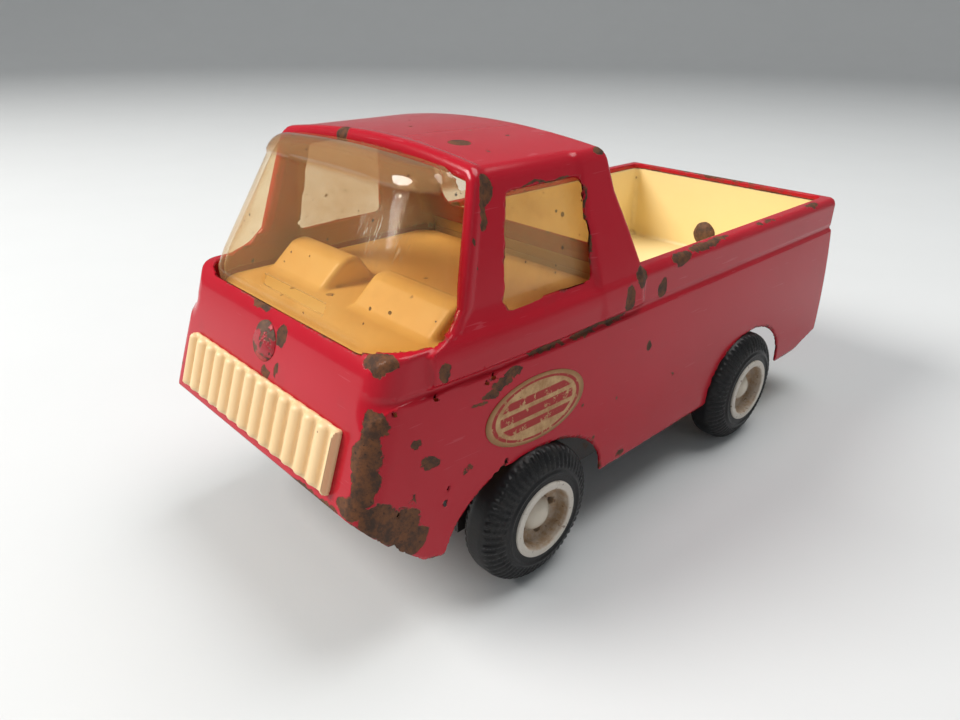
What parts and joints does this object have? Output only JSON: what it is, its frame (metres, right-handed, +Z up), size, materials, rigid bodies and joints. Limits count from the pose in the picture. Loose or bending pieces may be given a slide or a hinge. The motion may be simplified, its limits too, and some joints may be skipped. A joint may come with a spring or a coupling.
{
  "type": "toy pickup truck",
  "caption": "Pressed-steel cab-over toy pickup with amber windshield bubble, open cargo bed, ribbed grille and free-rolling rubber-tyred wheels.",
  "frame": {"origin": "middle of the truck's footprint, on the surface the wheels stand on", "axes": "-Y forwards, +X to the truck's left side, +Z up"},
  "size_m": [0.0938, 0.1921, 0.0973],
  "materials": {
    "red_enamel": "glossy enamel, chipped",
    "amber_glazing": "clear tinted plastic, scratched",
    "yellow_plastic": "satin moulded plastic",
    "cream_plastic": "aged moulded plastic",
    "rusty_steel": "paint worn to rust",
    "chassis_steel": "dull painted steel",
    "plated_steel": "dull plated steel",
    "paper_sticker": "aged printed paper",
    "tyre_rubber": "satin rubber",
    "white_plastic": "stained white plastic",
    "cap_steel": "worn dome"
  },
  "bodies": {
    "root": {"body_shell": "red_enamel", "glazing": "amber_glazing", "cab_interior": "yellow_plastic", "bed_liner": "yellow_plastic", "grille": "cream_plastic", "front_rivet": "rusty_steel", "rear_rivet": "rusty_steel", "chassis_plate": "chassis_steel", "chassis_screws": "plated_steel", "decal_left": "paper_sticker", "decal_right": "paper_sticker"},
    "front_axle": {"front_axle": "plated_steel", "front_left_axle_cap": "cap_steel", "front_right_axle_cap": "cap_steel"},
    "front_left_wheel": {"front_left_tyre": "tyre_rubber", "front_left_hub": "white_plastic"},
    "front_right_wheel": {"front_right_tyre": "tyre_rubber", "front_right_hub": "white_plastic"},
    "rear_axle": {"rear_axle": "plated_steel", "rear_left_axle_cap": "cap_steel", "rear_right_axle_cap": "cap_steel"},
    "rear_left_wheel": {"rear_left_tyre": "tyre_rubber", "rear_left_hub": "white_plastic"},
    "rear_right_wheel": {"rear_right_tyre": "tyre_rubber", "rear_right_hub": "white_plastic"}
  },
  "joints": [
    {"name": "front_axle_spin", "type": "hinge", "parent": "root", "child": "front_axle", "pos_m": [0, -0.0492, 0.0171], "axis": [1, 0, 0], "continuous": true},
    {"name": "front_left_wheel_spin", "type": "hinge", "parent": "front_axle", "child": "front_left_wheel", "pos_m": [0.0415, -0.0492, 0.0171], "axis": [1, 0, 0], "continuous": true},
    {"name": "front_right_wheel_spin", "type": "hinge", "parent": "front_axle", "child": "front_right_wheel", "pos_m": [-0.0415, -0.0492, 0.0171], "axis": [1, 0, 0], "continuous": true},
    {"name": "rear_axle_spin", "type": "hinge", "parent": "root", "child": "rear_axle", "pos_m": [0, 0.042, 0.0171], "axis": [1, 0, 0], "continuous": true},
    {"name": "rear_left_wheel_spin", "type": "hinge", "parent": "rear_axle", "child": "rear_left_wheel", "pos_m": [0.0415, 0.042, 0.0171], "axis": [1, 0, 0], "continuous": true},
    {"name": "rear_right_wheel_spin", "type": "hinge", "parent": "rear_axle", "child": "rear_right_wheel", "pos_m": [-0.0415, 0.042, 0.0171], "axis": [1, 0, 0], "continuous": true}
  ]
}
